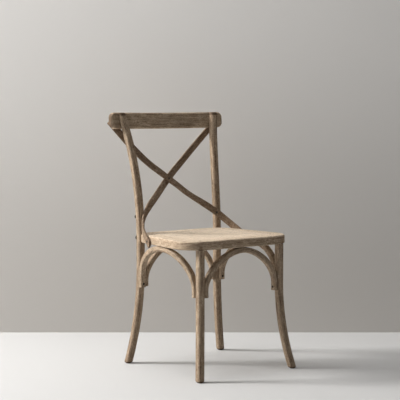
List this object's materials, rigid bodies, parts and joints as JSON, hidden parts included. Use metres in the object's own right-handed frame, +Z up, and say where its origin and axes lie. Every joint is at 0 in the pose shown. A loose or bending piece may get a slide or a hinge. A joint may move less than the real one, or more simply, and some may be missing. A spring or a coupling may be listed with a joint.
{
  "type": "cross back chair",
  "caption": "Wooden dining chair with splayed square legs, bentwood arches under the seat, a dished seat and two bent slats crossing behind the posts.",
  "frame": {"origin": "on the floor, in the middle of the chair's outer box", "axes": "+Z up, the chair faces -Y, +X to the right seen from the front"},
  "size_m": [0.489, 0.5081, 0.8812],
  "materials": {
    "oak_frame": "matt weathered oak, open grain",
    "oak_seat": "matt weathered oak, lighter seat",
    "black_steel": "black, satin",
    "zinc_steel": "dull dark zinc",
    "nylon": "matt"
  },
  "bodies": {
    "root": {"front_leg_left": "oak_frame", "front_leg_right": "oak_frame", "rear_leg_left": "oak_frame", "rear_leg_right": "oak_frame", "top_rail": "oak_frame", "back_slat_front": "oak_frame", "back_slat_rear": "oak_frame", "front_arch": "oak_frame", "rear_arch": "oak_frame", "side_arch_left": "oak_frame", "side_arch_right": "oak_frame", "seat_ring": "oak_frame", "seat_panel": "oak_seat", "seat_plugs": "oak_seat", "rear_leg_bolts": "black_steel", "slat_post_nuts": "black_steel", "slat_rail_bolts": "black_steel", "slat_seat_screws": "black_steel", "crossing_nut": "black_steel", "arch_leg_screws": "zinc_steel", "arch_seat_screws": "zinc_steel", "rail_screws": "zinc_steel", "slat_post_bolts": "zinc_steel", "crossing_bolt": "zinc_steel", "front_leg_screws": "zinc_steel", "seat_lap_screws": "zinc_steel", "panel_screws": "zinc_steel", "foot_glides": "nylon"}
  },
  "joints": []
}
